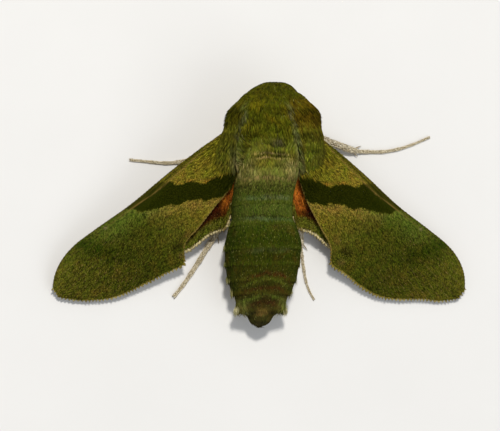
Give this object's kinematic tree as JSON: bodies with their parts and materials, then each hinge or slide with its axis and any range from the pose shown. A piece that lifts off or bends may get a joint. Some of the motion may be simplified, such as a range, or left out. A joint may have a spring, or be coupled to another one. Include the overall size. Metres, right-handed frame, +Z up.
{
  "type": "hawk moth",
  "caption": "Life-size resting hawk moth, wings spread low and swept back, furry thorax, ringed tapering abdomen with a tail tuft, legs out on the floor.",
  "frame": {"origin": "middle of the box on the floor, under the front half of the abdomen", "axes": "+X to the moth's left along the wing spread, +Y towards its tail, +Z up"},
  "size_m": [0.0388, 0.023, 0.0085],
  "materials": {
    "olive_fur": "olive-green hair-like scales, matt",
    "green_scales": "moss-green flat scales, matt",
    "forewing_scales": "olive-green wing scales with a dark green band and a tan fringe, matt",
    "hindwing_scales": "orange-brown wing scales with a green margin and a cream fringe, matt",
    "leg_scales": "cream scales, matt",
    "eye": "dark brown, glossy",
    "feeler": "tan scales, matt"
  },
  "bodies": {
    "root": {"abdomen": "green_scales", "antenna_left": "feeler", "antenna_right": "feeler", "eye_left": "eye", "eye_right": "eye", "foreleg_left_femur": "leg_scales", "foreleg_left_tarsus": "leg_scales", "foreleg_left_tibia": "leg_scales", "foreleg_right_femur": "leg_scales", "foreleg_right_tarsus": "leg_scales", "foreleg_right_tibia": "leg_scales", "forewing_left": "forewing_scales", "forewing_right": "forewing_scales", "head": "olive_fur", "hindleg_left_femur": "leg_scales", "hindleg_left_tarsus": "leg_scales", "hindleg_left_tibia": "leg_scales", "hindleg_right_femur": "leg_scales", "hindleg_right_tarsus": "leg_scales", "hindleg_right_tibia": "leg_scales", "hindwing_left": "hindwing_scales", "hindwing_right": "hindwing_scales", "midleg_left_femur": "leg_scales", "midleg_left_tarsus": "leg_scales", "midleg_left_tibia": "leg_scales", "midleg_right_femur": "leg_scales", "midleg_right_tarsus": "leg_scales", "midleg_right_tibia": "leg_scales", "palp_left": "olive_fur", "palp_right": "olive_fur", "tail_tuft": "green_scales", "tegula_left": "olive_fur", "tegula_right": "olive_fur", "thorax": "olive_fur"}
  },
  "joints": []
}
